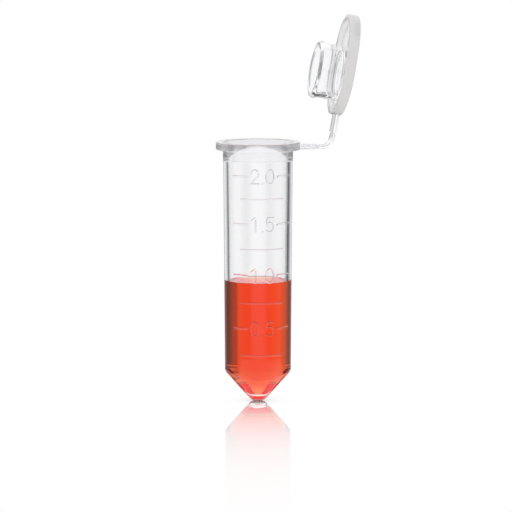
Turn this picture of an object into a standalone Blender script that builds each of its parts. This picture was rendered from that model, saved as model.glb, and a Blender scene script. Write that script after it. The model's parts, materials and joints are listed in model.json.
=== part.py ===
"""A 2 mL microcentrifuge tube with its lid standing open and liquid in its lower half.

Metres, +Z up. The origin is the centre of the collar's underside, where the tube hangs in a rack.
+X points from the tube's axis to the hinge strap. The lid is drawn where it stands at rest, hinged
back past upright. Its strap is a thin web that bends at three places: beside the tube's tab, in
its middle and beside the lid's tab.
"""

import math

import bmesh
import bpy
from mathutils import Vector

# Driving dimensions, in metres.
BARREL_TOP_RADIUS = 0.00540
BARREL_FOOT_RADIUS = 0.00515
BORE_TOP_RADIUS = 0.00468
BORE_FOOT_RADIUS = 0.00435
NECK_RADIUS = 0.00545
NECK_LENGTH = 0.00145
SHOULDER_DEPTH = 0.0348
BORE_SHOULDER_DEPTH = 0.0345
TIP_DEPTH = 0.0395
TIP_FLAT_RADIUS = 0.00095
TIP_THICKNESS = 0.0011
BORE_TIP_RADIUS = 0.0008
COLLAR_RADIUS = 0.00655
COLLAR_HEIGHT = 0.0012
MOUTH_RADIUS = 0.00528
MOUTH_LEAD_DEPTH = 0.0017
LIQUID_DEPTH = 0.0205

HINGE_REACH = 0.0093
STRAP_WIDTH = 0.0030
ROOT_TAB_THICKNESS = 0.00065
ROOT_TAB_MIDDLE = 0.00035
LID_TAB_THICKNESS = 0.00076
LID_TAB_MIDDLE = 0.00108
WEB_THICKNESS = 0.00045
WEB_LINK = 0.0018
LID_OPENING = math.radians(100.5)

LID_RADIUS = 0.0065
THUMB_LIP_RADIUS = 0.0060
THUMB_LIP_REACH = 0.0093
LID_THICKNESS = 0.00165
PLATE_THICKNESS = 0.00085
RIM_WIDTH = 0.0009
PLUG_RADIUS = 0.00440
PLUG_LIP_RADIUS = 0.00450
PLUG_WAIST_RADIUS = 0.00430
PLUG_BORE_RADIUS = 0.00370
PLUG_LENGTH = 0.0037
PLUG_LIP_HEIGHT = 0.0011
PLUG_BASE_THICKNESS = 0.0003

PART_GAP = 0.00005
LIQUID_GAP = 0.0001
HINGE_GAP = 0.00005
LID_SEAT_GAP = 0.00005
EDGE_ROUND = 0.0001
CONE_ROUND = 0.0005
WELD_DISTANCE = 0.000001
TURN_STEPS = 64
ARC_STEPS = 4
OUTLINE_STEPS = 24

# The strap's bends. Closed, its two links fold into a V with the lid's pivot straight above the
# tube's. At rest each bend is the same share of its closed bend.
CLOSED_RISE = COLLAR_HEIGHT + LID_SEAT_GAP + LID_TAB_MIDDLE - ROOT_TAB_MIDDLE
CLOSED_END_BEND = math.asin(CLOSED_RISE / (2 * WEB_LINK))
CLOSED_MIDDLE_BEND = math.pi - 2 * CLOSED_END_BEND
REST_SHARE = (math.pi - LID_OPENING) / math.pi
REST_END_BEND = CLOSED_END_BEND * REST_SHARE
REST_MIDDLE_BEND = CLOSED_MIDDLE_BEND * REST_SHARE

# Where a link's round end has its centre, from the pivot, so that the folded links stay apart.
END_OFFSET = WEB_THICKNESS / 2 + HINGE_GAP
FOLD_OFFSET = (WEB_THICKNESS + HINGE_GAP) / (2 * math.sin(CLOSED_END_BEND))


def clear_scene():
    for obj in list(bpy.data.objects):
        bpy.data.objects.remove(obj, do_unlink=True)


def new_collection(name):
    collection = bpy.data.collections.new(name)
    bpy.context.scene.collection.children.link(collection)
    return collection


def plastic(name, colour, roughness, alpha):
    material = bpy.data.materials.new(name)
    material.use_nodes = True
    shader = material.node_tree.nodes["Principled BSDF"]
    shader.inputs["Base Color"].default_value = (*colour, 1.0)
    shader.inputs["Roughness"].default_value = roughness
    shader.inputs["Metallic"].default_value = 0.0
    shader.inputs["Alpha"].default_value = alpha
    return material


def arc(centre, radius, first, last, steps):
    """Points round a centre, from one angle to another."""
    points = []
    for step in range(steps + 1):
        angle = first + (last - first) * step / steps
        points.append(centre + Vector((math.cos(angle), math.sin(angle))) * radius)
    return points


def rounded_profile(corners):
    """The points of an outline whose corners are (radius, height, fillet)."""
    points = []
    for i, (radius, height, fillet) in enumerate(corners):
        corner = Vector((radius, height))
        if fillet == 0:
            points.append(corner)
            continue
        before = (Vector(corners[i - 1][:2]) - corner).normalized()
        after = (Vector(corners[i + 1][:2]) - corner).normalized()
        half = before.angle(after) / 2
        centre = corner + (before + after).normalized() * (fillet / math.sin(half))
        start = corner + before * (fillet / math.tan(half)) - centre
        end = corner + after * (fillet / math.tan(half)) - centre
        first = math.atan2(start.y, start.x)
        turn = (math.atan2(end.y, end.x) - first + math.pi) % math.tau - math.pi
        points += arc(centre, fillet, first, first + turn, ARC_STEPS)
    return points


def turned(name, corners, closed, material, collection):
    """A body of revolution, from an outline that runs down its outer side."""
    points = rounded_profile(corners)
    edges = [(i, i + 1) for i in range(len(points) - 1)]
    if closed:
        edges.append((len(points) - 1, 0))
    mesh = bpy.data.meshes.new(name)
    mesh.from_pydata([(p.x, 0, p.y) for p in points], edges, [])
    mesh.materials.append(material)
    obj = bpy.data.objects.new(name, mesh)
    collection.objects.link(obj)
    screw = obj.modifiers.new("Turn", "SCREW")
    screw.steps = TURN_STEPS
    screw.render_steps = TURN_STEPS
    screw.use_merge_vertices = True
    screw.merge_threshold = WELD_DISTANCE
    screw.use_smooth_shade = True
    return obj


def flat(name, outlines, thickness, edge_round, material, collection):
    """A flat piece in its own XY plane, from closed outlines. The second outline is a hole."""
    curve = bpy.data.curves.new(name, "CURVE")
    curve.dimensions = "2D"
    curve.fill_mode = "BOTH"
    curve.extrude = thickness / 2 - edge_round
    curve.bevel_depth = edge_round
    curve.offset = -edge_round
    curve.bevel_resolution = 1
    for points in outlines:
        spline = curve.splines.new("POLY")
        spline.points.add(len(points) - 1)
        for spline_point, point in zip(spline.points, points):
            spline_point.co = (point.x, point.y, 0, 1)
        spline.use_cyclic_u = True
    curve.materials.append(material)
    obj = bpy.data.objects.new(name, curve)
    collection.objects.link(obj)
    return obj


def block(name, size, material, collection):
    """A box about its own origin, with rounded edges."""
    mesh = bpy.data.meshes.new(name)
    shape = bmesh.new()
    bmesh.ops.create_cube(shape, size=1)
    bmesh.ops.scale(shape, vec=size, verts=shape.verts)
    shape.to_mesh(mesh)
    shape.free()
    mesh.materials.append(material)
    obj = bpy.data.objects.new(name, mesh)
    collection.objects.link(obj)
    bevel = obj.modifiers.new("Edges", "BEVEL")
    bevel.width = EDGE_ROUND
    bevel.segments = 2
    return obj


def pivot(name, parent, location, bend, collection):
    """An empty on a bending line of the strap. Its +X points along what the line carries."""
    empty = bpy.data.objects.new(name, None)
    empty.empty_display_size = STRAP_WIDTH / 2
    empty.location = location
    empty.rotation_euler = (0, -bend, 0)
    empty.parent = parent
    collection.objects.link(empty)
    return empty


def make_barrel(material, collection):
    """The round wall, with the bore, the flared mouth, the neck band, the cone and the tip."""
    corners = [
        (0, TIP_THICKNESS - TIP_DEPTH, 0),
        (BORE_TIP_RADIUS, TIP_THICKNESS - TIP_DEPTH, CONE_ROUND),
        (BORE_FOOT_RADIUS, -BORE_SHOULDER_DEPTH, CONE_ROUND),
        (BORE_TOP_RADIUS, -MOUTH_LEAD_DEPTH, 0),
        (MOUTH_RADIUS, COLLAR_HEIGHT, 0),
        (BARREL_TOP_RADIUS, COLLAR_HEIGHT, 0),
        (BARREL_TOP_RADIUS, -PART_GAP, 0),
        (NECK_RADIUS, -PART_GAP, 0),
        (NECK_RADIUS, -NECK_LENGTH, 0),
        (BARREL_TOP_RADIUS, -NECK_LENGTH - PART_GAP, 0),
        (BARREL_FOOT_RADIUS, -SHOULDER_DEPTH, CONE_ROUND),
        (TIP_FLAT_RADIUS, -TIP_DEPTH, CONE_ROUND),
        (0, -TIP_DEPTH, 0),
    ]
    turned("tube_barrel", corners, False, material, collection)


def make_collar(material, collection):
    """The flange round the mouth. Its flat underside rests on a rack."""
    inside = BARREL_TOP_RADIUS + PART_GAP
    corners = [
        (inside, COLLAR_HEIGHT, 0),
        (COLLAR_RADIUS, COLLAR_HEIGHT, EDGE_ROUND),
        (COLLAR_RADIUS, 0, EDGE_ROUND),
        (inside, 0, 0),
    ]
    turned("collar", corners, True, material, collection)


def make_liquid(material, collection):
    """The liquid, clear of the bore all round."""
    corners = [
        (0, -LIQUID_DEPTH, 0),
        (BORE_TOP_RADIUS - 2 * LIQUID_GAP, -LIQUID_DEPTH, 0),
        (BORE_FOOT_RADIUS - LIQUID_GAP, -BORE_SHOULDER_DEPTH, CONE_ROUND),
        (BORE_TIP_RADIUS, TIP_THICKNESS + 2 * LIQUID_GAP - TIP_DEPTH, 0),
        (0, TIP_THICKNESS + 2 * LIQUID_GAP - TIP_DEPTH, 0),
    ]
    turned("sample_liquid", corners, False, material, collection)


def make_root_tab(material, collection):
    """The stiff tab on the collar, up to the strap's first bending line."""
    inner = COLLAR_RADIUS + PART_GAP
    outer = HINGE_REACH - HINGE_GAP
    size = (outer - inner, STRAP_WIDTH, ROOT_TAB_THICKNESS)
    tab = block("strap_root_tab", size, material, collection)
    tab.location = ((outer + inner) / 2, 0, ROOT_TAB_MIDDLE)


def make_web_link(name, first_offset, last_offset, parent, material, collection):
    """One half of the web: a slab with round ends, from its pivot along the parent's +X."""
    radius = WEB_THICKNESS / 2
    quarter = math.pi / 2
    outline = arc(Vector((WEB_LINK - last_offset, 0)), radius, -quarter, quarter, ARC_STEPS * 2)
    outline += arc(Vector((first_offset, 0)), radius, quarter, 3 * quarter, ARC_STEPS * 2)
    link = flat(name, [outline], STRAP_WIDTH, 0, material, collection)
    link.rotation_euler = (quarter, 0, 0)
    link.parent = parent


def lid_outline(inset):
    """The lid's outline about the plug's axis: a disc and a rounder thumb lip, joined by tangents."""
    shift = THUMB_LIP_REACH - THUMB_LIP_RADIUS
    tangent = math.acos((LID_RADIUS - THUMB_LIP_RADIUS) / shift)
    lip = Vector((shift, 0))
    disc = Vector((0, 0))
    points = arc(lip, THUMB_LIP_RADIUS - inset, -tangent, tangent, OUTLINE_STEPS)
    points += arc(disc, LID_RADIUS - inset, tangent, math.tau - tangent, OUTLINE_STEPS)
    return points


def make_lid(parent, material, collection):
    """The lid, in the frame of its bending line: +X away from the hinge, +Z out of its underside.

    The rim's edge is LID_TAB_MIDDLE along +Z. The plate is the far side of the lid.
    """
    centre = Vector((HINGE_REACH, 0, LID_TAB_MIDDLE))
    plate_height = PLATE_THICKNESS / 2 - LID_THICKNESS
    plate = flat("lid_plate", [lid_outline(0)], PLATE_THICKNESS, EDGE_ROUND, material, collection)
    plate.location = centre + Vector((0, 0, plate_height))
    plate.parent = parent

    rim_height = LID_THICKNESS - PLATE_THICKNESS - PART_GAP
    outlines = [lid_outline(0), lid_outline(RIM_WIDTH)]
    rim = flat("lid_rim", outlines, rim_height, EDGE_ROUND, material, collection)
    rim.location = centre - Vector((0, 0, rim_height / 2))
    rim.parent = parent

    base = PLATE_THICKNESS + PART_GAP - LID_THICKNESS
    corners = [
        (0, base + PLUG_BASE_THICKNESS, 0),
        (PLUG_BORE_RADIUS, base + PLUG_BASE_THICKNESS, EDGE_ROUND),
        (PLUG_BORE_RADIUS, PLUG_LENGTH, EDGE_ROUND),
        (PLUG_WAIST_RADIUS, PLUG_LENGTH, EDGE_ROUND),
        (PLUG_LIP_RADIUS, PLUG_LENGTH - PLUG_LIP_HEIGHT / 3, EDGE_ROUND),
        (PLUG_LIP_RADIUS, PLUG_LENGTH - PLUG_LIP_HEIGHT / 2, EDGE_ROUND),
        (PLUG_WAIST_RADIUS, PLUG_LENGTH - PLUG_LIP_HEIGHT, EDGE_ROUND),
        (PLUG_WAIST_RADIUS, PLUG_LENGTH / 3, EDGE_ROUND),
        (PLUG_RADIUS, 0, EDGE_ROUND),
        (PLUG_RADIUS, base, 0),
        (0, base, 0),
    ]
    plug = turned("sealing_plug", corners, False, material, collection)
    plug.location = centre
    plug.parent = parent

    inner = HINGE_GAP
    outer = HINGE_REACH - LID_RADIUS - PART_GAP
    size = (outer - inner, STRAP_WIDTH, LID_TAB_THICKNESS)
    tab = block("lid_strap_tab", size, material, collection)
    tab.location = ((outer + inner) / 2, 0, 0)
    tab.parent = parent


def main():
    clear_scene()
    parts = new_collection("microcentrifuge_tube")
    clear_plastic = plastic("tube_plastic", (0.86, 0.88, 0.90), 0.12, 0.35)
    lid_plastic = plastic("lid_plastic", (0.84, 0.86, 0.88), 0.30, 0.60)
    web_plastic = plastic("web_plastic", (0.84, 0.86, 0.88), 0.22, 0.50)
    liquid = plastic("sample_liquid", (0.90, 0.10, 0.03), 0.05, 0.90)

    make_barrel(clear_plastic, parts)
    make_collar(clear_plastic, parts)
    make_liquid(liquid, parts)
    make_root_tab(clear_plastic, parts)

    tube_pivot = (HINGE_REACH, 0, ROOT_TAB_MIDDLE)
    next_pivot = (WEB_LINK, 0, 0)
    lower = pivot("web_lower_pivot", None, tube_pivot, REST_END_BEND, parts)
    upper = pivot("web_upper_pivot", lower, next_pivot, REST_MIDDLE_BEND, parts)
    lid = pivot("lid_pivot", upper, next_pivot, REST_END_BEND, parts)
    make_web_link("hinge_web_lower", END_OFFSET, FOLD_OFFSET, lower, web_plastic, parts)
    make_web_link("hinge_web_upper", FOLD_OFFSET, END_OFFSET, upper, web_plastic, parts)
    make_lid(lid, lid_plastic, parts)


main()
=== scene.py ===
"""The looks of a 2 mL microcentrifuge tube with its lid standing open and red liquid in it.

Metres, +Z up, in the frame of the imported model: the origin is the centre of the collar's
underside, +X runs to the hinge, and the scale faces -Y.
"""

import json
import math

import bmesh
import bpy
from mathutils import Matrix, Vector


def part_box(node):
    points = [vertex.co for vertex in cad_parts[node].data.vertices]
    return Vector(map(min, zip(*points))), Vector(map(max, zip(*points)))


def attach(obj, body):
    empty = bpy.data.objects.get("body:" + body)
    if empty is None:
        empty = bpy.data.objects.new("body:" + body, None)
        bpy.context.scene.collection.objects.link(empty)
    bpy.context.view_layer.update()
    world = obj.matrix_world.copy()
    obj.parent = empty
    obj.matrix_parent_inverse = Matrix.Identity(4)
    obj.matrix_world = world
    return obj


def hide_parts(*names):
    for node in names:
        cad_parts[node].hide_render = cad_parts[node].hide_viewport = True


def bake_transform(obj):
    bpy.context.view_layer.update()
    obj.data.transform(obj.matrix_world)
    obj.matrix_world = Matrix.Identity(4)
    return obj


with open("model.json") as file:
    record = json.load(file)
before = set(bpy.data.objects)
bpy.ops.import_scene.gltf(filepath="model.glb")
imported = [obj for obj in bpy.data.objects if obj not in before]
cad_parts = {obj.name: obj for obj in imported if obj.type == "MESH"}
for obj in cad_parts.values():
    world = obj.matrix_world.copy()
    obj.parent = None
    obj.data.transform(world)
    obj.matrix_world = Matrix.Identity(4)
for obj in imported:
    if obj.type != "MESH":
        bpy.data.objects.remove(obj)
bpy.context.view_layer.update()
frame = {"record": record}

# ---------------------------------------------------------------- sizes from the frame
COLLAR_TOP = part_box("collar")[1]
COLLAR_RADIUS = COLLAR_TOP.x
COLLAR_HEIGHT = COLLAR_TOP.z
TIP_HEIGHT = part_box("tube_barrel")[0].z
LIQUID_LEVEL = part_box("sample_liquid")[1].z
TAB_LOW, TAB_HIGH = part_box("strap_root_tab")
JOINTS = {joint["name"]: Vector(joint["pos_m"]) for joint in frame["record"]["behaviour"]["joints"]}
TUBE_PIVOT = JOINTS["strap_root_bend"]
LID_PIVOT = JOINTS["lid_bend"]

# ---------------------------------------------------------------- sizes of the moulding
BARREL_TOP_RADIUS = 0.00540
BARREL_FOOT_RADIUS = 0.00515
BORE_TOP_RADIUS = 0.00468
BORE_FOOT_RADIUS = 0.00435
NECK_RADIUS = 0.00545
NECK_LENGTH = 0.00145
SHOULDER_HEIGHT = -0.0348
BORE_SHOULDER_HEIGHT = -0.0345
TIP_FLAT_RADIUS = 0.00100
TIP_THICKNESS = 0.0014
TIP_ROUND = 0.0014
SHOULDER_ROUND = 0.0007
BORE_TIP_RADIUS = 0.0009
BORE_TIP_ROUND = 0.0006
BORE_SHOULDER_ROUND = 0.0009
MOUTH_RADIUS = 0.00528
MOUTH_EDGE = 0.00008
MOUTH_LEAD_HEIGHT = -0.0017
MOUTH_LEAD_ROUND = 0.0012
COLLAR_EDGE = 0.00012
NECK_ROUND = 0.0001
NECK_STEP = 0.0001
NECK_EDGE = 0.00003
TUBE_TAB_EDGE = 0.0001

STRAP_WIDTH = 0.0030
WEB_THICKNESS = 0.00045
LID_TAB_THICKNESS = 0.00076
LID_TAB_MIDDLE = 0.00108
LID_TAB_GAP = 0.00005
LID_TAB_EDGE = 0.00012
HINGE_REACH = 0.0093
LID_RADIUS = 0.0065
THUMB_LIP_RADIUS = 0.0060
THUMB_LIP_REACH = 0.0093
LID_THICKNESS = 0.00165
LID_TOP_EDGE = 0.00022
LID_UNDER_EDGE = 0.00016
PLATE_THICKNESS = 0.00085
PLATE_INSET = 0.0020
RIM_WIDTH = 0.0009
RIM_EDGE = 0.00014
RIM_ROOT_ROUND = 0.00012
PLUG_RADIUS = 0.00440
PLUG_LIP_RADIUS = 0.00452
PLUG_WAIST_RADIUS = 0.00428
PLUG_BORE_RADIUS = 0.00370
PLUG_LENGTH = 0.0037
PLUG_FLOOR = -0.00045
PLUG_FLOOR_ROUND = 0.0005
PLUG_ROOT = 0.0003
PLUG_ROOT_ROUND = 0.00008
PLUG_WAIST_START = 0.0010
PLUG_WAIST_END = 0.0013
PLUG_WAIST_ROUND = 0.0006
PLUG_LIP_HEIGHT = 0.0005
PLUG_LIP_ROUND = 0.0003
PLUG_EDGE = 0.00012

TURN_STEPS = 256
ARC_STEPS = 6


# ---------------------------------------------------------------- mesh helpers
def arc(centre, radius, first, last, steps):
    """Points along part of a circle, both ends included."""
    points = []
    for step in range(steps + 1):
        angle = first + (last - first) * step / steps
        points.append(centre + Vector((math.cos(angle), math.sin(angle))) * radius)
    return points


def rounded(corners, steps=ARC_STEPS):
    """The points of an outline whose corners are (x, y, fillet)."""
    points = []
    for i, (x, y, fillet) in enumerate(corners):
        corner = Vector((x, y))
        if fillet == 0:
            points.append(corner)
            continue
        before = (Vector(corners[i - 1][:2]) - corner).normalized()
        after = (Vector(corners[(i + 1) % len(corners)][:2]) - corner).normalized()
        half = before.angle(after) / 2
        centre = corner + (before + after).normalized() * (fillet / math.sin(half))
        start = corner + before * (fillet / math.tan(half)) - centre
        end = corner + after * (fillet / math.tan(half)) - centre
        first = math.atan2(start.y, start.x)
        turn = (math.atan2(end.y, end.x) - first + math.pi) % math.tau - math.pi
        points += arc(centre, fillet, first, first + turn, steps)
    return points


def new_object(name, shape):
    """An object from a bmesh, its faces pointing out and shaded smooth."""
    bmesh.ops.recalc_face_normals(shape, faces=shape.faces)
    mesh = bpy.data.meshes.new(name)
    shape.to_mesh(mesh)
    shape.free()
    mesh.shade_smooth()
    obj = bpy.data.objects.new(name, mesh)
    bpy.context.scene.collection.objects.link(obj)
    return obj


def lathe(name, points, steps=TURN_STEPS):
    """A closed body of revolution from (radius, height) points that start and end on the axis."""
    shape = bmesh.new()
    rings = []
    for point in points:
        if point.x < 1e-7:
            rings.append([shape.verts.new((0, 0, point.y))])
            continue
        ring = []
        for step in range(steps):
            angle = math.tau * step / steps
            ring.append(shape.verts.new((point.x * math.cos(angle), point.x * math.sin(angle), point.y)))
        rings.append(ring)
    for low, high in zip(rings, rings[1:]):
        for i in range(steps):
            j = (i + 1) % steps
            if len(low) == 1:
                shape.faces.new((low[0], high[i], high[j]))
            elif len(high) == 1:
                shape.faces.new((low[i], low[j], high[0]))
            else:
                shape.faces.new((low[i], low[j], high[j], high[i]))
    return new_object(name, shape)


def loft(name, rings):
    """A closed body through rings of points that all have the same count, capped at both ends."""
    shape = bmesh.new()
    loops = [[shape.verts.new(point) for point in ring] for ring in rings]
    for low, high in zip(loops, loops[1:]):
        for i in range(len(low)):
            j = (i + 1) % len(low)
            shape.faces.new((low[i], low[j], high[j], high[i]))
    shape.faces.new(loops[0])
    shape.faces.new(loops[-1])
    return new_object(name, shape)


def box(name, low, high, rounding, segments=3):
    """A box between two corners, its edges rounded."""
    shape = bmesh.new()
    bmesh.ops.create_cube(shape, size=1)
    size = high - low
    bmesh.ops.scale(shape, vec=size, verts=shape.verts)
    bmesh.ops.translate(shape, vec=(low + high) / 2, verts=shape.verts)
    bmesh.ops.bevel(shape, geom=shape.edges[:], offset=rounding, segments=segments,
                    profile=0.5, affect="EDGES")
    return new_object(name, shape)


def apply_modifiers(obj):
    """Gives the object the mesh that its modifiers make, and drops them."""
    graph = bpy.context.evaluated_depsgraph_get()
    graph.update()
    mesh = bpy.data.meshes.new_from_object(obj.evaluated_get(graph))
    obj.modifiers.clear()
    obj.data = mesh


def union(obj, others, solver="EXACT"):
    """Joins the other objects into this one and removes them."""
    for other in others:
        join = obj.modifiers.new("Join", "BOOLEAN")
        join.operation = "UNION"
        join.solver = solver
        join.object = other
        apply_modifiers(obj)
        bpy.data.objects.remove(other, do_unlink=True)


def finish_shading(obj, angle=35):
    """Shades an object smooth, but for edges sharper than the angle in degrees."""
    obj.data.shade_smooth()
    obj.data.set_sharp_from_angle(angle=math.radians(angle))
    normals = obj.modifiers.new("Normals", "WEIGHTED_NORMAL")
    normals.keep_sharp = True


# ---------------------------------------------------------------- material helpers
PLASTIC_IOR = 1.49
LIQUID_IOR = 1.345
CLOUD_SCALE = 600.0
POLISH_SCALE = 900.0
POLISH_RANGE = (0.35, 0.75)
POLISH_SHARE = 0.3
WAVE_SCALE = 260.0
WAVE_DEPTH = 0.0002
FROST_CLARITY = 0.5
LIQUID_CLOUD_SCALE = 180.0
LIQUID_CLOUD = (1.0, 0.98, 0.97)
LIQUID_COLOUR = (0.997, 0.405, 0.005)
LIQUID_DENSITY = 560.0


def new_material(name):
    material = bpy.data.materials.new(name)
    material.use_nodes = True
    tree = material.node_tree
    tree.nodes.clear()
    return material, tree


def add(tree, kind, **values):
    node = tree.nodes.new(kind)
    for key, value in values.items():
        setattr(node, key, value)
    return node


def math_node(tree, operation, first, second=None, third=None):
    """The output of a Math node whose inputs are sockets or numbers."""
    node = add(tree, "ShaderNodeMath", operation=operation)
    for socket, value in zip(node.inputs, (first, second, third)):
        if value is None:
            continue
        if isinstance(value, (int, float)):
            socket.default_value = value
        else:
            tree.links.new(value, socket)
    return node.outputs[0]


def ramp(tree, value, low, high, to_low=0.0, to_high=1.0):
    """A smooth change from to_low to to_high as the value goes from low to high."""
    node = add(tree, "ShaderNodeMapRange", interpolation_type="SMOOTHSTEP")
    tree.links.new(value, node.inputs["Value"])
    node.inputs["From Min"].default_value = low
    node.inputs["From Max"].default_value = high
    node.inputs["To Min"].default_value = to_low
    node.inputs["To Max"].default_value = to_high
    return node.outputs["Result"]


def mix_numbers(tree, factor, first, second):
    """The first number where the factor is 0, and the second where it is 1."""
    node = add(tree, "ShaderNodeMix", data_type="FLOAT")
    tree.links.new(factor, node.inputs["Factor"])
    for socket, value in ((node.inputs["A"], first), (node.inputs["B"], second)):
        if isinstance(value, (int, float)):
            socket.default_value = value
        else:
            tree.links.new(value, socket)
    return node.outputs["Result"]


def noise(tree, coordinates, scale, detail=2.0):
    node = add(tree, "ShaderNodeTexNoise")
    tree.links.new(coordinates, node.inputs["Vector"])
    node.inputs["Scale"].default_value = scale
    node.inputs["Detail"].default_value = detail
    return node.outputs["Fac"]


def clear_plastic(name, tint, roughness, haze=0.01, waves=0.06, clarity=1.0, ior=PLASTIC_IOR):
    """Moulded polypropylene: clear, with faint flow waves and a patchy polish.

    A frosted surface, of low clarity, scatters the light that falls on it but lets out what comes
    through the plastic.
    """
    material, tree = new_material(name)
    output = add(tree, "ShaderNodeOutputMaterial")
    shader = add(tree, "ShaderNodeBsdfPrincipled")
    place = add(tree, "ShaderNodeTexCoord").outputs["Object"]
    shader.inputs["Transmission Weight"].default_value = clarity
    if clarity < FROST_CLARITY:
        from_inside = add(tree, "ShaderNodeNewGeometry").outputs["Backfacing"]
        weight = math_node(tree, "MAXIMUM", from_inside, clarity)
        tree.links.new(weight, shader.inputs["Transmission Weight"])
    shader.inputs["IOR"].default_value = ior
    colours = add(tree, "ShaderNodeMix", data_type="RGBA")
    tree.links.new(noise(tree, place, CLOUD_SCALE), colours.inputs["Factor"])
    colours.inputs["A"].default_value = (*tint, 1.0)
    colours.inputs["B"].default_value = (*(min(1.0, c + haze) for c in tint), 1.0)
    tree.links.new(colours.outputs["Result"], shader.inputs["Base Color"])
    patches = noise(tree, place, POLISH_SCALE, detail=4.0)
    polish = ramp(tree, patches, *POLISH_RANGE, roughness * POLISH_SHARE, roughness)
    tree.links.new(polish, shader.inputs["Roughness"])
    bump = add(tree, "ShaderNodeBump")
    bump.inputs["Strength"].default_value = waves
    bump.inputs["Distance"].default_value = WAVE_DEPTH
    tree.links.new(noise(tree, place, WAVE_SCALE, detail=1.0), bump.inputs["Height"])
    tree.links.new(bump.outputs["Normal"], shader.inputs["Normal"])
    tree.links.new(shader.outputs["BSDF"], output.inputs["Surface"])
    return material


def red_liquid(name, ior):
    """Clear dyed water, faintly clouded, that takes its colour from its depth."""
    material, tree = new_material(name)
    output = add(tree, "ShaderNodeOutputMaterial")
    shader = add(tree, "ShaderNodeBsdfPrincipled")
    shader.inputs["Transmission Weight"].default_value = 1.0
    shader.inputs["IOR"].default_value = ior
    shader.inputs["Roughness"].default_value = 0.0
    place = add(tree, "ShaderNodeTexCoord").outputs["Object"]
    colours = add(tree, "ShaderNodeMix", data_type="RGBA")
    tree.links.new(noise(tree, place, LIQUID_CLOUD_SCALE, detail=3.0), colours.inputs["Factor"])
    colours.inputs["A"].default_value = (*LIQUID_CLOUD, 1.0)
    colours.inputs["B"].default_value = (1.0, 1.0, 1.0, 1.0)
    tree.links.new(colours.outputs["Result"], shader.inputs["Base Color"])
    tree.links.new(shader.outputs["BSDF"], output.inputs["Surface"])
    volume = add(tree, "ShaderNodeVolumeAbsorption")
    volume.inputs["Color"].default_value = (*LIQUID_COLOUR, 1.0)
    volume.inputs["Density"].default_value = LIQUID_DENSITY
    tree.links.new(volume.outputs["Volume"], output.inputs["Volume"])
    return material


# ---------------------------------------------------------------- the camera
VIEW_AZIMUTH = math.radians(-8.0)
VIEW_ELEVATION = math.radians(7.2)
VIEW_DISTANCE = 0.4566
VIEW_CENTRE_HEIGHT = -0.0167
AXIS_RIGHT_OF_CENTRE = 0.0003
LENS = 205.7


def make_camera():
    data = bpy.data.cameras.new("camera")
    data.sensor_width = 36.0
    data.lens = LENS
    data.clip_start = 0.01
    data.clip_end = 20.0
    camera = bpy.data.objects.new("camera", data)
    bpy.context.scene.collection.objects.link(camera)
    a, e = VIEW_AZIMUTH, VIEW_ELEVATION
    back = Vector((math.sin(a) * math.cos(e), -math.cos(a) * math.cos(e), math.sin(e)))
    right = Vector((math.cos(a), math.sin(a), 0))
    aim = Vector((0, 0, VIEW_CENTRE_HEIGHT)) - right * AXIS_RIGHT_OF_CENTRE
    camera.location = aim + back * VIEW_DISTANCE
    camera.rotation_mode = "QUATERNION"
    camera.rotation_quaternion = back.to_track_quat("Z", "Y")
    bpy.context.scene.camera = camera


# ---------------------------------------------------------------- light
# Angles are in degrees round the tube, from +Y towards +X. A half and a soft part give a panel's
# width. Heights are the Z of a ray's direction, given in the order that a change runs through them.
WINDOW_LIGHT = 0.95
WINDOW_SLOPE = 0.04
WINDOW_CENTRE = 6.0
WINDOW_HALF = 22.0
WINDOW_SOFT = 2.5
GAP_EDGE = 24.0
GAP_MIDDLE = 44.0
GAP_EDGE_LIGHT = 0.46
GAP_MIDDLE_LIGHT = 0.10
LEFT_GAP_GAIN = 1.80
LEFT_GAP_REACH = 0.7
MIRROR_LIGHT = 0.32
MIRROR_HALF = 24.0
MIRROR_SOFT = 14.0
STEEP_LIGHT = 0.08
STEEP_HEIGHTS = (-0.172, -0.195)
STEEP_GAP_CENTRE = 68.0
STEEP_GAP_HALF = 12.0
STEEP_GAP_SOFT = 4.0
BEHIND_HALF = 30.0
BEHIND_SOFT = 6.0
BEHIND_HEIGHTS = (-0.30, -0.35)
HIGH_LIGHT = 1.05
HIGH_HEIGHTS = (0.10, 0.30)
FLOOR_LIGHT = 1.0
FLOOR_HEIGHTS = (-0.72, -0.80)
UPWARD = 0.02
GAP_TINT = (0.93, 0.94, 1.0)
TINT_LEVELS = (0.2, 1.0)
LIGHT_BOUNCES = 40


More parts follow.
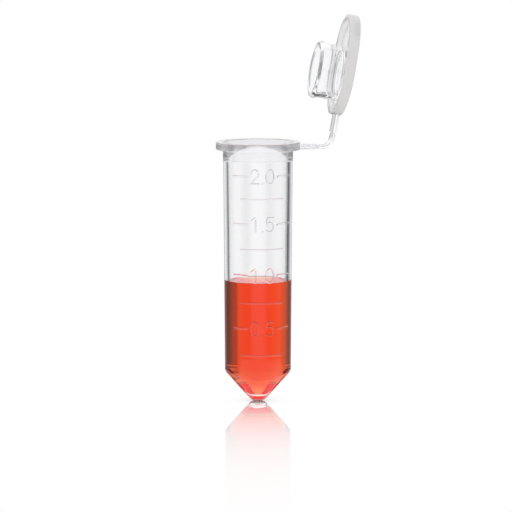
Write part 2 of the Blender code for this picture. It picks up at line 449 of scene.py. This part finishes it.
def make_world():
    """Soft white panels stand all round, with dimmer gaps between them that draw the clear edges.

    The camera sees plain white, and so does a reflected ray that goes up, as all do off the floor.
    """
    world = bpy.data.worlds.new("studio")
    bpy.context.scene.world = world
    world.use_nodes = True
    tree = world.node_tree
    tree.nodes.clear()
    output = add(tree, "ShaderNodeOutputWorld")
    direction = add(tree, "ShaderNodeTexCoord").outputs["Generated"]
    split = add(tree, "ShaderNodeSeparateXYZ")
    tree.links.new(direction, split.inputs[0])
    x, y, z = split.outputs
    azimuth = math_node(tree, "ARCTAN2", x, y)

    def angle_from(centre, every=90.0):
        """The signed angle from the middle of the nearest of a round of panels."""
        turned = math_node(tree, "SUBTRACT", azimuth, math.radians(centre))
        return math_node(tree, "WRAP", turned, math.radians(every / 2), -math.radians(every / 2))

    def band(angle, half, soft):
        off = math_node(tree, "ABSOLUTE", angle)
        return ramp(tree, off, math.radians(half + soft), math.radians(half - soft))

    angle = angle_from(WINDOW_CENTRE)
    slope = math_node(tree, "DIVIDE", angle, math.radians(WINDOW_HALF))
    window = math_node(tree, "MULTIPLY_ADD", slope, -WINDOW_SLOPE * WINDOW_LIGHT, WINDOW_LIGHT)
    off = math_node(tree, "ABSOLUTE", angle)
    gap_edge, gap_middle = math.radians(GAP_EDGE), math.radians(GAP_MIDDLE)
    gap = ramp(tree, off, gap_edge, gap_middle, GAP_EDGE_LIGHT, GAP_MIDDLE_LIGHT)
    side = math_node(tree, "SINE", azimuth)
    gain = ramp(tree, side, -LEFT_GAP_REACH, LEFT_GAP_REACH, LEFT_GAP_GAIN, 1.0)
    gap = math_node(tree, "MULTIPLY", gap, gain)
    level = mix_numbers(tree, band(angle, WINDOW_HALF, WINDOW_SOFT), gap, window)
    mirror_panel = band(angle_from(180.0 + WINDOW_CENTRE, 360.0), MIRROR_HALF, MIRROR_SOFT)
    mirrored = ramp(tree, mirror_panel, 0.0, 1.0, MIRROR_LIGHT, WINDOW_LIGHT)
    path = add(tree, "ShaderNodeLightPath")
    level = mix_numbers(tree, path.outputs["Is Reflection Ray"], level, mirrored)
    aside = math_node(tree, "ABSOLUTE", azimuth)
    aside = math_node(tree, "SUBTRACT", aside, math.radians(STEEP_GAP_CENTRE))
    behind = band(angle_from(WINDOW_CENTRE, 360.0), BEHIND_HALF, BEHIND_SOFT)
    behind = math_node(tree, "MULTIPLY", behind, ramp(tree, z, *BEHIND_HEIGHTS))
    gaps = math_node(tree, "MAXIMUM", band(aside, STEEP_GAP_HALF, STEEP_GAP_SOFT), behind)
    steep = ramp(tree, gaps, 0.0, 1.0, WINDOW_LIGHT, STEEP_LIGHT)
    steep = mix_numbers(tree, ramp(tree, z, *FLOOR_HEIGHTS), steep, FLOOR_LIGHT)
    lower = mix_numbers(tree, ramp(tree, z, *STEEP_HEIGHTS), level, steep)
    studio_light = mix_numbers(tree, ramp(tree, z, *HIGH_HEIGHTS), lower, HIGH_LIGHT)
    tints = add(tree, "ShaderNodeMix", data_type="RGBA")
    tree.links.new(ramp(tree, studio_light, *TINT_LEVELS), tints.inputs["Factor"])
    tints.inputs["A"].default_value = (*GAP_TINT, 1.0)
    tints.inputs["B"].default_value = (1.0, 1.0, 1.0, 1.0)
    studio = add(tree, "ShaderNodeBackground")
    tree.links.new(tints.outputs["Result"], studio.inputs["Color"])
    tree.links.new(studio_light, studio.inputs["Strength"])
    plain = add(tree, "ShaderNodeBackground")
    plain.inputs["Strength"].default_value = 1.0
    plain.inputs["Color"].default_value = (1.0, 1.0, 1.0, 1.0)
    upward = math_node(tree, "GREATER_THAN", z, UPWARD)
    sent_up = math_node(tree, "MULTIPLY", path.outputs["Is Reflection Ray"], upward)
    seen = math_node(tree, "MAXIMUM", path.outputs["Is Camera Ray"], sent_up)
    choose = add(tree, "ShaderNodeMixShader")
    tree.links.new(seen, choose.inputs[0])
    tree.links.new(studio.outputs[0], choose.inputs[1])
    tree.links.new(plain.outputs[0], choose.inputs[2])
    tree.links.new(choose.outputs[0], output.inputs["Surface"])


# ---------------------------------------------------------------- the floor
FLOOR_RADIUS = 3.0
FLOOR_CLEARANCE = 0.00002
POLISH_FADE = 0.018
POLISH_ROUGHNESS = 0.03
# Painted contact shadow: how much the floor's glow and reflection are darkened at the foot, and how far
# the darkening reaches.
CONTACT_SHADE = 0.62
CONTACT_REACH = 0.0011


def make_floor():
    """A plain white floor whose polish shows near the tube's foot and fades away from it. A painted
    contact shadow darkens its glow and its reflection round the foot.
    """
    shape = bmesh.new()
    bmesh.ops.create_circle(shape, cap_ends=True, radius=FLOOR_RADIUS, segments=96)
    floor = new_object("floor", shape)
    floor.location.z = TIP_HEIGHT - FLOOR_CLEARANCE
    material, tree = new_material("floor")
    output = add(tree, "ShaderNodeOutputMaterial")
    place = add(tree, "ShaderNodeTexCoord").outputs["Object"]
    length = add(tree, "ShaderNodeVectorMath", operation="LENGTH")
    tree.links.new(place, length.inputs[0])
    away = length.outputs["Value"]
    share = math_node(tree, "EXPONENT", math_node(tree, "DIVIDE", away, -POLISH_FADE))
    # Painted shadow: the floor's glow and its mirror colour are darkened near the foot.
    nearness = math_node(tree, "EXPONENT", math_node(tree, "DIVIDE", away, -CONTACT_REACH))
    painted_shadow_level = math_node(tree, "MULTIPLY_ADD", nearness, -CONTACT_SHADE, 1.0)
    white = add(tree, "ShaderNodeEmission")
    tree.links.new(painted_shadow_level, white.inputs["Strength"])
    mirror = add(tree, "ShaderNodeBsdfGlossy")
    tree.links.new(painted_shadow_level, mirror.inputs["Color"])
    mirror.inputs["Roughness"].default_value = POLISH_ROUGHNESS
    mix = add(tree, "ShaderNodeMixShader")
    tree.links.new(share, mix.inputs[0])
    tree.links.new(white.outputs[0], mix.inputs[1])
    tree.links.new(mirror.outputs[0], mix.inputs[2])
    tree.links.new(mix.outputs[0], output.inputs["Surface"])
    floor.data.materials.append(material)
    floor.visible_transmission = False
    floor.visible_glossy = False


# ---------------------------------------------------------------- the tube
WALL_OVERLAP = 0.00002
MENISCUS_RISE = 0.00010
MENISCUS_WIDTH = 0.0009
MENISCUS_STEPS = 12
CONTACT_HEIGHT = LIQUID_LEVEL + MENISCUS_RISE
WET_DEPTH = 0.0002
# How far up from the foot the tip takes the dark grey tint of painted shade.
TIP_SHADE_HEIGHT = 0.00035
FACE_SLACK = 0.00005
DRY, WET, SATIN, SHADED_TIP, MARKED = range(5)


def bore_radius(height):
    share = (MOUTH_LEAD_HEIGHT - height) / (MOUTH_LEAD_HEIGHT - BORE_SHOULDER_HEIGHT)
    return BORE_TOP_RADIUS + (BORE_FOOT_RADIUS - BORE_TOP_RADIUS) * share


def wall_radius(height):
    share = (height - SHOULDER_HEIGHT) / (-NECK_LENGTH - SHOULDER_HEIGHT)
    return BARREL_FOOT_RADIUS + (BARREL_TOP_RADIUS - BARREL_FOOT_RADIUS) * share


def tube_slot(place, out):
    """The material slot of a face of the tube, from its middle and its outward direction."""
    reach = place.xy.length
    inward = out.x * place.x + out.y * place.y < 0 or out.z > 0.5
    if place.z < CONTACT_HEIGHT and inward and reach < wall_radius(place.z) - WET_DEPTH:
        return WET
    if place.z > -NECK_LENGTH - FACE_SLACK and reach > NECK_RADIUS - 2 * FACE_SLACK:
        return SATIN
    if place.z > SHOULDER_HEIGHT and reach > wall_radius(place.z) + STROKE_RELIEF / 8:
        return MARKED
    # The tip's lowest part takes a dark grey tint: painted shade where the foot meets the floor.
    if place.z < TIP_HEIGHT + TIP_SHADE_HEIGHT:
        return SHADED_TIP
    return DRY


def make_tube(materials):
    """The barrel, collar and hinge tab in one shell, with the raised scale joined to it."""
    inner_tip = TIP_HEIGHT + TIP_THICKNESS
    corners = [
        (0, inner_tip, 0),
        (BORE_TIP_RADIUS, inner_tip, BORE_TIP_ROUND),
        (BORE_FOOT_RADIUS, BORE_SHOULDER_HEIGHT, BORE_SHOULDER_ROUND),
        (bore_radius(CONTACT_HEIGHT), CONTACT_HEIGHT, 0),
        (BORE_TOP_RADIUS, MOUTH_LEAD_HEIGHT, MOUTH_LEAD_ROUND),
        (MOUTH_RADIUS, COLLAR_HEIGHT, MOUTH_EDGE),
        (COLLAR_RADIUS, COLLAR_HEIGHT, COLLAR_EDGE),
        (COLLAR_RADIUS, 0, COLLAR_EDGE),
        (NECK_RADIUS, 0, NECK_ROUND),
        (NECK_RADIUS, -NECK_LENGTH, NECK_EDGE),
        (BARREL_TOP_RADIUS, -NECK_LENGTH - NECK_STEP, NECK_EDGE),
        (BARREL_FOOT_RADIUS, SHOULDER_HEIGHT, SHOULDER_ROUND),
        (TIP_FLAT_RADIUS, TIP_HEIGHT, TIP_ROUND),
        (0, TIP_HEIGHT, 0),
    ]
    tube = lathe("tube_shell", rounded(corners))
    tab_low = Vector((BARREL_TOP_RADIUS, TAB_LOW.y, TAB_LOW.z))
    tab = box("tab", tab_low, TAB_HIGH, TUBE_TAB_EDGE)
    union(tube, [tab])
    union(tube, [make_scale(0), make_scale(1)], "MANIFOLD")
    finish_shading(tube)
    tube.data.materials.clear()
    for material in materials:
        tube.data.materials.append(material)
    for face in tube.data.polygons:
        face.material_index = tube_slot(face.center, face.normal)
    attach(tube, "tube")
    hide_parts("tube_barrel", "collar", "strap_root_tab")


# ---------------------------------------------------------------- the raised scale
DIGIT_HEIGHT = 0.00215
DIGIT_TURN = math.radians(15.0)
LEFT_DIGIT = math.radians(-21.0)
RIGHT_DIGIT = math.radians(5.0)
TICK_INNER = math.radians(27.0)
TICK_OUTER = math.radians(53.0)
LINE_REACH = math.radians(37.8)
STROKE_WIDTH = 0.00024
TICK_WIDTH = 0.00042
LINE_WIDTH = 0.00034
STROKE_RELIEF = 0.00011
STROKE_ROOT = 0.00006
POINT_HALF = 0.00002
MARK_STEP = 0.0002
ROUND_TOP = 2.0
FLAT_TOP = 4.0
BEAD_STEPS = 8
END_STEPS = 5
END_STEP_DEGREES = 16.0
NUMBERED_MARKS = {"20": -0.00383, "15": -0.01125, "10": -0.01920, "05": -0.02750}
PLAIN_MARKS = (-0.00736, -0.01517, -0.02350, -0.03170)


def curve_part(centre, radii, first, last, steps=14):
    """Points of part of an oval, its angles in degrees."""
    points = []
    for step in range(steps + 1):
        angle = math.radians(first + (last - first) * step / steps)
        points.append((centre[0] + radii[0] * math.cos(angle), centre[1] + radii[1] * math.sin(angle)))
    return points


def digit_strokes(digit):
    """The strokes of a digit in a box one unit wide and high. Each meets only its neighbours."""
    if digit == "0":
        return [curve_part((0.5, 0.5), (0.46, 0.5), 0, 360, 28)]
    if digit == "1":
        return [[(0.12, 0.80), (0.50, 0.99)], [(0.60, 0.82), (0.60, 0.0)]]
    if digit == "2":
        neck = curve_part((0.5, 0.70), (0.44, 0.30), 175, -38)
        return [[*neck, (0.06, 0.0)], [(0.06, 0.0), (0.98, 0.0)]]
    bowl = curve_part((0.46, 0.33), (0.46, 0.33), 140, -135)
    return [[(0.92, 1.0), (0.2, 1.0)], [(0.2, 1.0), bowl[0]], bowl]


def bead(points, width, relief, fullness):
    """The rings of a raised bead along flat points (along the wall, up), and whether it closes.

    A ring's points are (along the wall, up, out). An open bead has round ends.
    """
    path = [Vector(point) for point in points]
    closed = (path[0] - path[-1]).length < width / 10
    if closed:
        path.pop()
    stations = []
    count = len(path)
    for i, point in enumerate(path):
        if closed:
            along = (path[(i + 1) % count] - path[i - 1]).normalized()
        else:
            along = (path[min(i + 1, count - 1)] - path[max(i - 1, 0)]).normalized()
        stations.append((point, along, 1.0))
    if not closed:
        start, end = stations[0], stations[-1]
        for step in range(1, END_STEPS + 1):
            turn = math.radians(END_STEP_DEGREES * step)
            reach, share = math.sin(turn) * width / 2, math.cos(turn)
            stations.insert(0, (start[0] - start[1] * reach, start[1], share))
            stations.append((end[0] + end[1] * reach, end[1], share))
    rings = []
    for point, along, share in stations:
        side = Vector((-along.y, along.x))
        ring = [(point + side * (width / 2 * share), -STROKE_ROOT)]
        for step in range(BEAD_STEPS + 1):
            across = math.cos(math.pi * step / BEAD_STEPS)
            rise = (1 - abs(across) ** fullness) ** (1 / fullness)
            ring.append((point + side * (width / 2 * share * across), relief * rise * share))
        ring.append((point - side * (width / 2 * share), -STROKE_ROOT))
        rings.append([Vector((place.x, place.y, out)) for place, out in ring])
    return rings, closed


def scale_beads():
    """Every mark of the scale: (layer, points, width, fullness), the points along and up the wall.

    Marks of one layer stay clear of each other, so that each layer can be joined to the wall whole.
    """
    radius = (BARREL_TOP_RADIUS + BARREL_FOOT_RADIUS) / 2
    marks = []
    for digits, height in NUMBERED_MARKS.items():
        for side in (-1, 1):
            ends = (side * TICK_INNER * radius, side * TICK_OUTER * radius)
            marks.append((0, [(end, height) for end in ends], TICK_WIDTH, FLAT_TOP))
        for digit, left in zip(digits, (LEFT_DIGIT, RIGHT_DIGIT)):
            for i, stroke in enumerate(digit_strokes(digit)):
                points = []
                for x, y in stroke:
                    points.append(((left + DIGIT_TURN * x) * radius, height + DIGIT_HEIGHT * (y - 0.5)))
                marks.append((i % 2, points, STROKE_WIDTH, ROUND_TOP))
        middle = (LEFT_DIGIT + DIGIT_TURN + RIGHT_DIGIT) / 2 * radius
        foot = height - DIGIT_HEIGHT / 2
        point = [(middle - POINT_HALF, foot), (middle + POINT_HALF, foot)]
        marks.append((0, point, STROKE_WIDTH, ROUND_TOP))
    for height in PLAIN_MARKS:
        reach = LINE_REACH * radius
        marks.append((0, [(-reach, height), (reach, height)], LINE_WIDTH, FLAT_TOP))
    return marks


def densified(points, longest):
    """The points with more between them, so that a long mark follows the round wall."""
    dense = [points[0]]
    for start, end in zip(points, points[1:]):
        steps = max(1, math.ceil(math.dist(start, end) / longest))
        for step in range(1, steps + 1):
            share = step / steps
            along, up = end[0] - start[0], end[1] - start[1]
            dense.append((start[0] + along * share, start[1] + up * share))
    return dense


def make_scale(layer):
    """One layer's marks, wrapped onto the wall, as separate closed bodies in one object."""
    shape = bmesh.new()
    radius = (BARREL_TOP_RADIUS + BARREL_FOOT_RADIUS) / 2
    for own_layer, points, width, fullness in scale_beads():
        if own_layer != layer:
            continue
        rings, closed = bead(densified(points, MARK_STEP), width, STROKE_RELIEF, fullness)
        loops = []
        for ring in rings:
            loop = []
            for place in ring:
                turn = place.x / radius
                reach = wall_radius(place.y) + place.z
                loop.append(shape.verts.new((math.sin(turn) * reach, -math.cos(turn) * reach, place.y)))
            loops.append(loop)
        pairs = list(zip(loops, loops[1:]))
        if closed:
            pairs.append((loops[-1], loops[0]))
        for low, high in pairs:
            for i in range(len(low)):
                j = (i + 1) % len(low)
                shape.faces.new((low[i], low[j], high[j], high[i]))
        if not closed:
            shape.faces.new(loops[0])
            shape.faces.new(loops[-1])
    return new_object("scale", shape)


# ---------------------------------------------------------------- the liquid
def make_liquid(surface, side):
    """The liquid wets the wall: it overlaps it by a hair, and climbs it at the surface."""
    inner_tip = TIP_HEIGHT + TIP_THICKNESS - WALL_OVERLAP
    wall = bore_radius(LIQUID_LEVEL) + WALL_OVERLAP
    points = [Vector((0, LIQUID_LEVEL))]
    for step in range(MENISCUS_STEPS + 1):
        share = step / MENISCUS_STEPS
        radius = wall - MENISCUS_WIDTH * (1 - share)
        points.append(Vector((radius, LIQUID_LEVEL + MENISCUS_RISE * share**3)))
    lower = [
        (wall, LIQUID_LEVEL, 0),
        (BORE_FOOT_RADIUS + WALL_OVERLAP, BORE_SHOULDER_HEIGHT, BORE_SHOULDER_ROUND),
        (BORE_TIP_RADIUS + WALL_OVERLAP, inner_tip, BORE_TIP_ROUND),
        (0, inner_tip, 0),
    ]
    points += rounded(lower)[1:]
    liquid = lathe("liquid", points)
    finish_shading(liquid)
    liquid.data.materials.append(side)
    liquid.data.materials.append(surface)
    for face in liquid.data.polygons:
        face.material_index = int(face.center.z > LIQUID_LEVEL - WALL_OVERLAP and face.normal.z > 0.1)
    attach(liquid, "tube")
    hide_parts("sample_liquid")


# ---------------------------------------------------------------- the lid
def lid_frame():
    """The lid's own frame at rest: +X away from its hinge, +Z out of its underside."""
    mounts = {mount["name"]: mount for mount in frame["record"]["mounts"]}
    under = -Vector(mounts["lid_top"]["axis"])
    away = Vector((0, 1, 0)).cross(under)
    turn = Matrix((away, (0, 1, 0), under)).transposed()
    return Matrix.Translation(LID_PIVOT) @ turn.to_4x4()


def lid_ring(inset, height, steps=48):
    """The lid's outline about the plug's axis: a disc and a rounder thumb lip, joined by tangents."""
    shift = THUMB_LIP_REACH - THUMB_LIP_RADIUS
    tangent = math.acos((LID_RADIUS - THUMB_LIP_RADIUS) / shift)
    points = arc(Vector((shift, 0)), THUMB_LIP_RADIUS - inset, -tangent, tangent, steps)
    points += arc(Vector((0, 0)), LID_RADIUS - inset, tangent, math.tau - tangent, steps)
    return [(point.x, point.y, height) for point in points]


def make_lid(polished, frosted):
    """The lid's plate, rim, hollow plug and hinge tab in one shell, its outer side wall frosted."""
    recess = PLATE_THICKNESS - LID_THICKNESS
    corners = [
        (PLATE_INSET, -LID_THICKNESS, 0),
        (0, -LID_THICKNESS, LID_TOP_EDGE),
        (0, 0, LID_UNDER_EDGE),
        (RIM_WIDTH, 0, RIM_EDGE),
        (RIM_WIDTH, recess, RIM_ROOT_ROUND),
        (PLATE_INSET, recess, 0),
    ]
    lid = loft("lid_shell", [lid_ring(point.x, point.y) for point in rounded(corners)])
    plug_corners = [
        (0, recess - PLUG_ROOT, 0),
        (PLUG_RADIUS, recess - PLUG_ROOT, 0),
        (PLUG_RADIUS, recess + PLUG_ROOT, PLUG_ROOT_ROUND),
        (PLUG_WAIST_RADIUS, recess + PLUG_WAIST_START, PLUG_WAIST_ROUND),
        (PLUG_WAIST_RADIUS, PLUG_LENGTH - PLUG_WAIST_END, PLUG_WAIST_ROUND),
        (PLUG_LIP_RADIUS, PLUG_LENGTH - PLUG_LIP_HEIGHT, PLUG_LIP_ROUND),
        (PLUG_WAIST_RADIUS, PLUG_LENGTH, PLUG_EDGE),
        (PLUG_BORE_RADIUS, PLUG_LENGTH, PLUG_EDGE),
        (PLUG_BORE_RADIUS, PLUG_FLOOR, PLUG_FLOOR_ROUND),
        (0, PLUG_FLOOR, 0),
    ]
    plug = lathe("plug", rounded(plug_corners))
    tab_reach = HINGE_REACH - LID_RADIUS + RIM_WIDTH / 2
    tab_low = Vector((LID_TAB_GAP, -STRAP_WIDTH / 2, -LID_TAB_THICKNESS / 2))
    tab_high = Vector((tab_reach, STRAP_WIDTH / 2, LID_TAB_THICKNESS / 2))
    tab = box("tab", tab_low, tab_high, LID_TAB_EDGE)
    tab.data.transform(Matrix.Translation((-HINGE_REACH, 0, -LID_TAB_MIDDLE)))
    union(lid, [plug, tab])
    lid.data.materials.clear()
    lid.data.materials.append(polished)
    lid.data.materials.append(frosted)
    for face in lid.data.polygons:
        outer = face.normal.x * face.center.x + face.normal.y * face.center.y > 0
        on_rim = face.center.xy.length > LID_RADIUS - RIM_WIDTH / 2
        on_tab = face.center.x < -LID_RADIUS - FACE_SLACK
        face.material_index = int(outer and on_rim and not on_tab)
    lid.data.transform(lid_frame() @ Matrix.Translation((HINGE_REACH, 0, LID_TAB_MIDDLE)))
    finish_shading(lid)
    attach(lid, "lid")
    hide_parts("lid_plate", "lid_rim", "sealing_plug", "lid_strap_tab")


# ---------------------------------------------------------------- the strap's web
WEB_STEPS = 40
WEB_END_SHARE = 0.36
WEB_END_SLOPE = 14.0
WEB_GAP = 0.00002
WEB_DROP = 0.00005
WEB_ROOT_PULL = 0.0021
WEB_ROOT_SAG = 0.00022
WEB_LID_PULL = 0.0013
WEB_EDGE = 0.42 * WEB_THICKNESS


def web_section(steps=4):
    """The web's cross-section, across (x) and through (y), as a slim bar with round edges."""
    x, y = STRAP_WIDTH / 2, WEB_THICKNESS / 2
    corners = [(x, -y, WEB_EDGE), (x, y, WEB_EDGE), (-x, y, WEB_EDGE), (-x, -y, WEB_EDGE)]
    return rounded(corners, steps)


def weighted_sum(points, weights):
    return sum((point * weight for point, weight in zip(points, weights)), Vector((0, 0, 0)))


def make_web(material):
    """One bending strip from the tube's tab to the lid's, in the curve it takes with the lid open.

    It thins at both ends, where the moulding has its bending notches.
    """
    away = lid_frame().to_3x3() @ Vector((1, 0, 0))
    start = TUBE_PIVOT + Vector((WEB_GAP, 0, -WEB_DROP))
    end = LID_PIVOT + away * WEB_GAP
    root_pull = Vector((WEB_ROOT_PULL, 0, -WEB_ROOT_SAG))
    controls = (start, start + root_pull, end - away * WEB_LID_PULL, end)
    rings = []
    for step in range(WEB_STEPS + 1):
        t = step / WEB_STEPS
        weights = ((1 - t) ** 3, 3 * t * (1 - t) ** 2, 3 * t**2 * (1 - t), t**3)
        place = weighted_sum(controls, weights)
        slopes = (-3 * (1 - t) ** 2, 3 * (1 - t) * (1 - 3 * t), 3 * t * (2 - 3 * t), 3 * t**2)
        along = weighted_sum(controls, slopes).normalized()
        share = min(1.0, WEB_END_SHARE + WEB_END_SLOPE * min(t, 1 - t))
        out = Vector((0, 1, 0)).cross(along) * share
        rings.append([place + Vector((0, 1, 0)) * point.x + out * point.y for point in web_section()])
    web = loft("strap_web", rings)
    finish_shading(web)
    web.data.materials.append(material)
    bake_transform(web)
    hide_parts("hinge_web_lower", "hinge_web_upper")


def main():
    make_camera()
    make_world()
    make_floor()
    pale = (0.985, 0.985, 0.99)
    make_tube((
        clear_plastic("tube_plastic", pale, 0.03),
        clear_plastic("wet_plastic", pale, 0.03, ior=PLASTIC_IOR / LIQUID_IOR),
        clear_plastic("satin_plastic", (0.95, 0.94, 0.97), 0.26, haze=0.02, clarity=0.80),
        # A dark grey tint on the tip's foot: painted shade.
        clear_plastic("shaded_tip_plastic", (0.45, 0.44, 0.45), 0.40, haze=0.03, clarity=0.70),
        clear_plastic("marked_plastic", (0.86, 0.85, 0.88), 0.07, haze=0.02, clarity=0.95),
    ))
    make_liquid(red_liquid("liquid_surface", LIQUID_IOR), red_liquid("liquid_side", 1.0))
    polished = clear_plastic("lid_plastic", (0.98, 0.98, 0.99), 0.06, waves=0.02)
    frosted = clear_plastic("frosted_plastic", (0.68, 0.66, 0.66), 0.24, haze=0.02, clarity=0.12)
    make_lid(polished, frosted)
    make_web(clear_plastic("strap_plastic", (0.97, 0.97, 0.98), 0.02, waves=0.01))
    scene = bpy.context.scene
    scene.view_settings.view_transform = "Standard"
    scene.cycles.max_bounces = LIGHT_BOUNCES
    scene.cycles.glossy_bounces = LIGHT_BOUNCES
    scene.cycles.transmission_bounces = LIGHT_BOUNCES


main()
